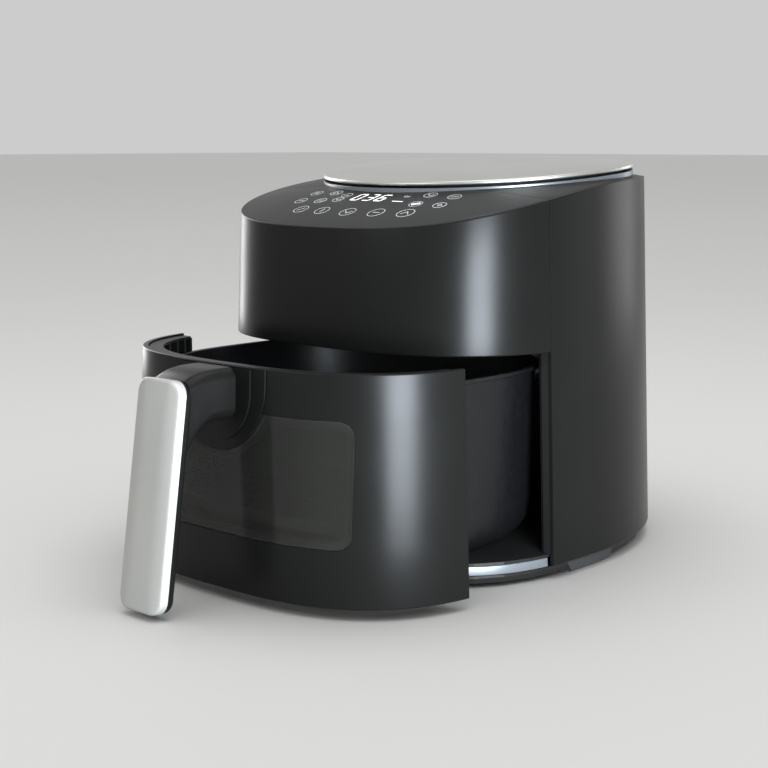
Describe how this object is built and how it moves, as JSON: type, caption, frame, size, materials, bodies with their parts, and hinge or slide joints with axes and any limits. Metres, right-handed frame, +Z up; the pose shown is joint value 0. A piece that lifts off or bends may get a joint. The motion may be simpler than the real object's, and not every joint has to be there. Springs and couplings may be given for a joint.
{
  "type": "air fryer",
  "caption": "Countertop air fryer with an oval plan, a windowed pull-out drawer on an upright grip, a sloping touch panel and a metal lid disc.",
  "frame": {"origin": "centre of the bounding box on the surface it stands on, drawer partly open", "axes": "+Z up, the drawer pulls out along -Y, +X to the right seen from the front"},
  "size_m": [0.3002, 0.4935, 0.2963],
  "materials": {
    "aluminium_sheet": "pressed",
    "brushed_silver": "brushed",
    "circuit_board": "solder mask",
    "clear_glass": "polished",
    "component_black": "moulded",
    "component_grey": "moulded",
    "dark_steel": "heat-resistant coating",
    "display": "gloss",
    "element_sheath": "oxidised",
    "gloss_black_plastic": "gloss moulded ABS",
    "matt_black_plastic": "matt",
    "nonstick_coating": "satin non-stick",
    "painted_silver": "satin metallic paint",
    "rubber": "matt",
    "satin_black_plastic": "satin moulded plastic",
    "satin_grey_trim": "satin",
    "silicone": "satin",
    "smoked_glass": "smoked, polished",
    "steel": "plain",
    "touch_panel": "smooth tinted overlay",
    "zinc_steel": "zinc plated"
  },
  "bodies": {
    "housing": {"air_outlet": "satin_black_plastic", "base_plate": "satin_black_plastic", "base_screw_1": "zinc_steel", "base_screw_2": "zinc_steel", "base_screw_3": "zinc_steel", "base_trim": "satin_grey_trim", "bay_ceiling": "dark_steel", "bay_floor": "satin_black_plastic", "capacitor": "component_black", "control_panel": "touch_panel", "cord_inlet": "rubber", "display_module": "display", "drawer_switch": "component_black", "element_bracket": "zinc_steel", "element_guard": "steel", "exhaust_duct": "satin_black_plastic", "foot_front": "rubber", "foot_left": "rubber", "foot_rear": "rubber", "foot_right": "rubber", "front_shell": "gloss_black_plastic", "heat_shield": "aluminium_sheet", "heating_element": "element_sheath", "inner_housing": "satin_black_plastic", "lid_carrier": "matt_black_plastic", "lid_disc": "brushed_silver", "motor": "steel", "motor_bracket": "zinc_steel", "opening_jamb_left": "satin_black_plastic", "opening_jamb_right": "satin_black_plastic", "power_board": "circuit_board", "rear_shell": "gloss_black_plastic", "temperature_sensor": "steel", "thermal_cutout": "component_black", "top_cover": "satin_black_plastic", "touch_board": "circuit_board", "transformer": "component_black"},
    "drawer": {"drawer_bowl": "nonstick_coating", "drawer_frame": "satin_black_plastic", "drawer_front": "gloss_black_plastic", "glass_seal": "silicone", "handle_body": "gloss_black_plastic", "handle_hub": "gloss_black_plastic", "handle_plate": "painted_silver", "handle_screw_left": "zinc_steel", "handle_screw_right": "zinc_steel", "inner_glass": "clear_glass", "switch_striker": "satin_black_plastic", "window_gasket": "rubber", "window_pane": "smoked_glass"},
    "plate": {"crisper_plate": "nonstick_coating", "plate_foot_1": "silicone", "plate_foot_2": "silicone", "plate_foot_3": "silicone", "plate_foot_4": "silicone"},
    "rotor": {"hot_air_fan": "aluminium_sheet", "motor_shaft": "steel", "fan_nut": "zinc_steel", "cooling_fan": "satin_black_plastic"},
    "plunger": {"switch_plunger": "component_grey"}
  },
  "joints": [
    {"name": "drawer_slide", "type": "slide", "parent": "housing", "child": "drawer", "axis": [0, -1, 0], "range_m": [-0.0943, 0.16]},
    {"name": "plate_lift", "type": "slide", "parent": "drawer", "child": "plate", "axis": [0, 0, 1], "range_m": [0, 0.09]},
    {"name": "fan_spin", "type": "hinge", "parent": "housing", "child": "rotor", "pos_m": [0, 0.06826, 0.2], "axis": [0, 0, 1], "continuous": true},
    {"name": "plunger_press", "type": "slide", "parent": "housing", "child": "plunger", "axis": [0, 1, 0], "range_m": [0, 0.0018], "stiffness_N_per_m": 300, "springref_m": -0.002}
  ]
}
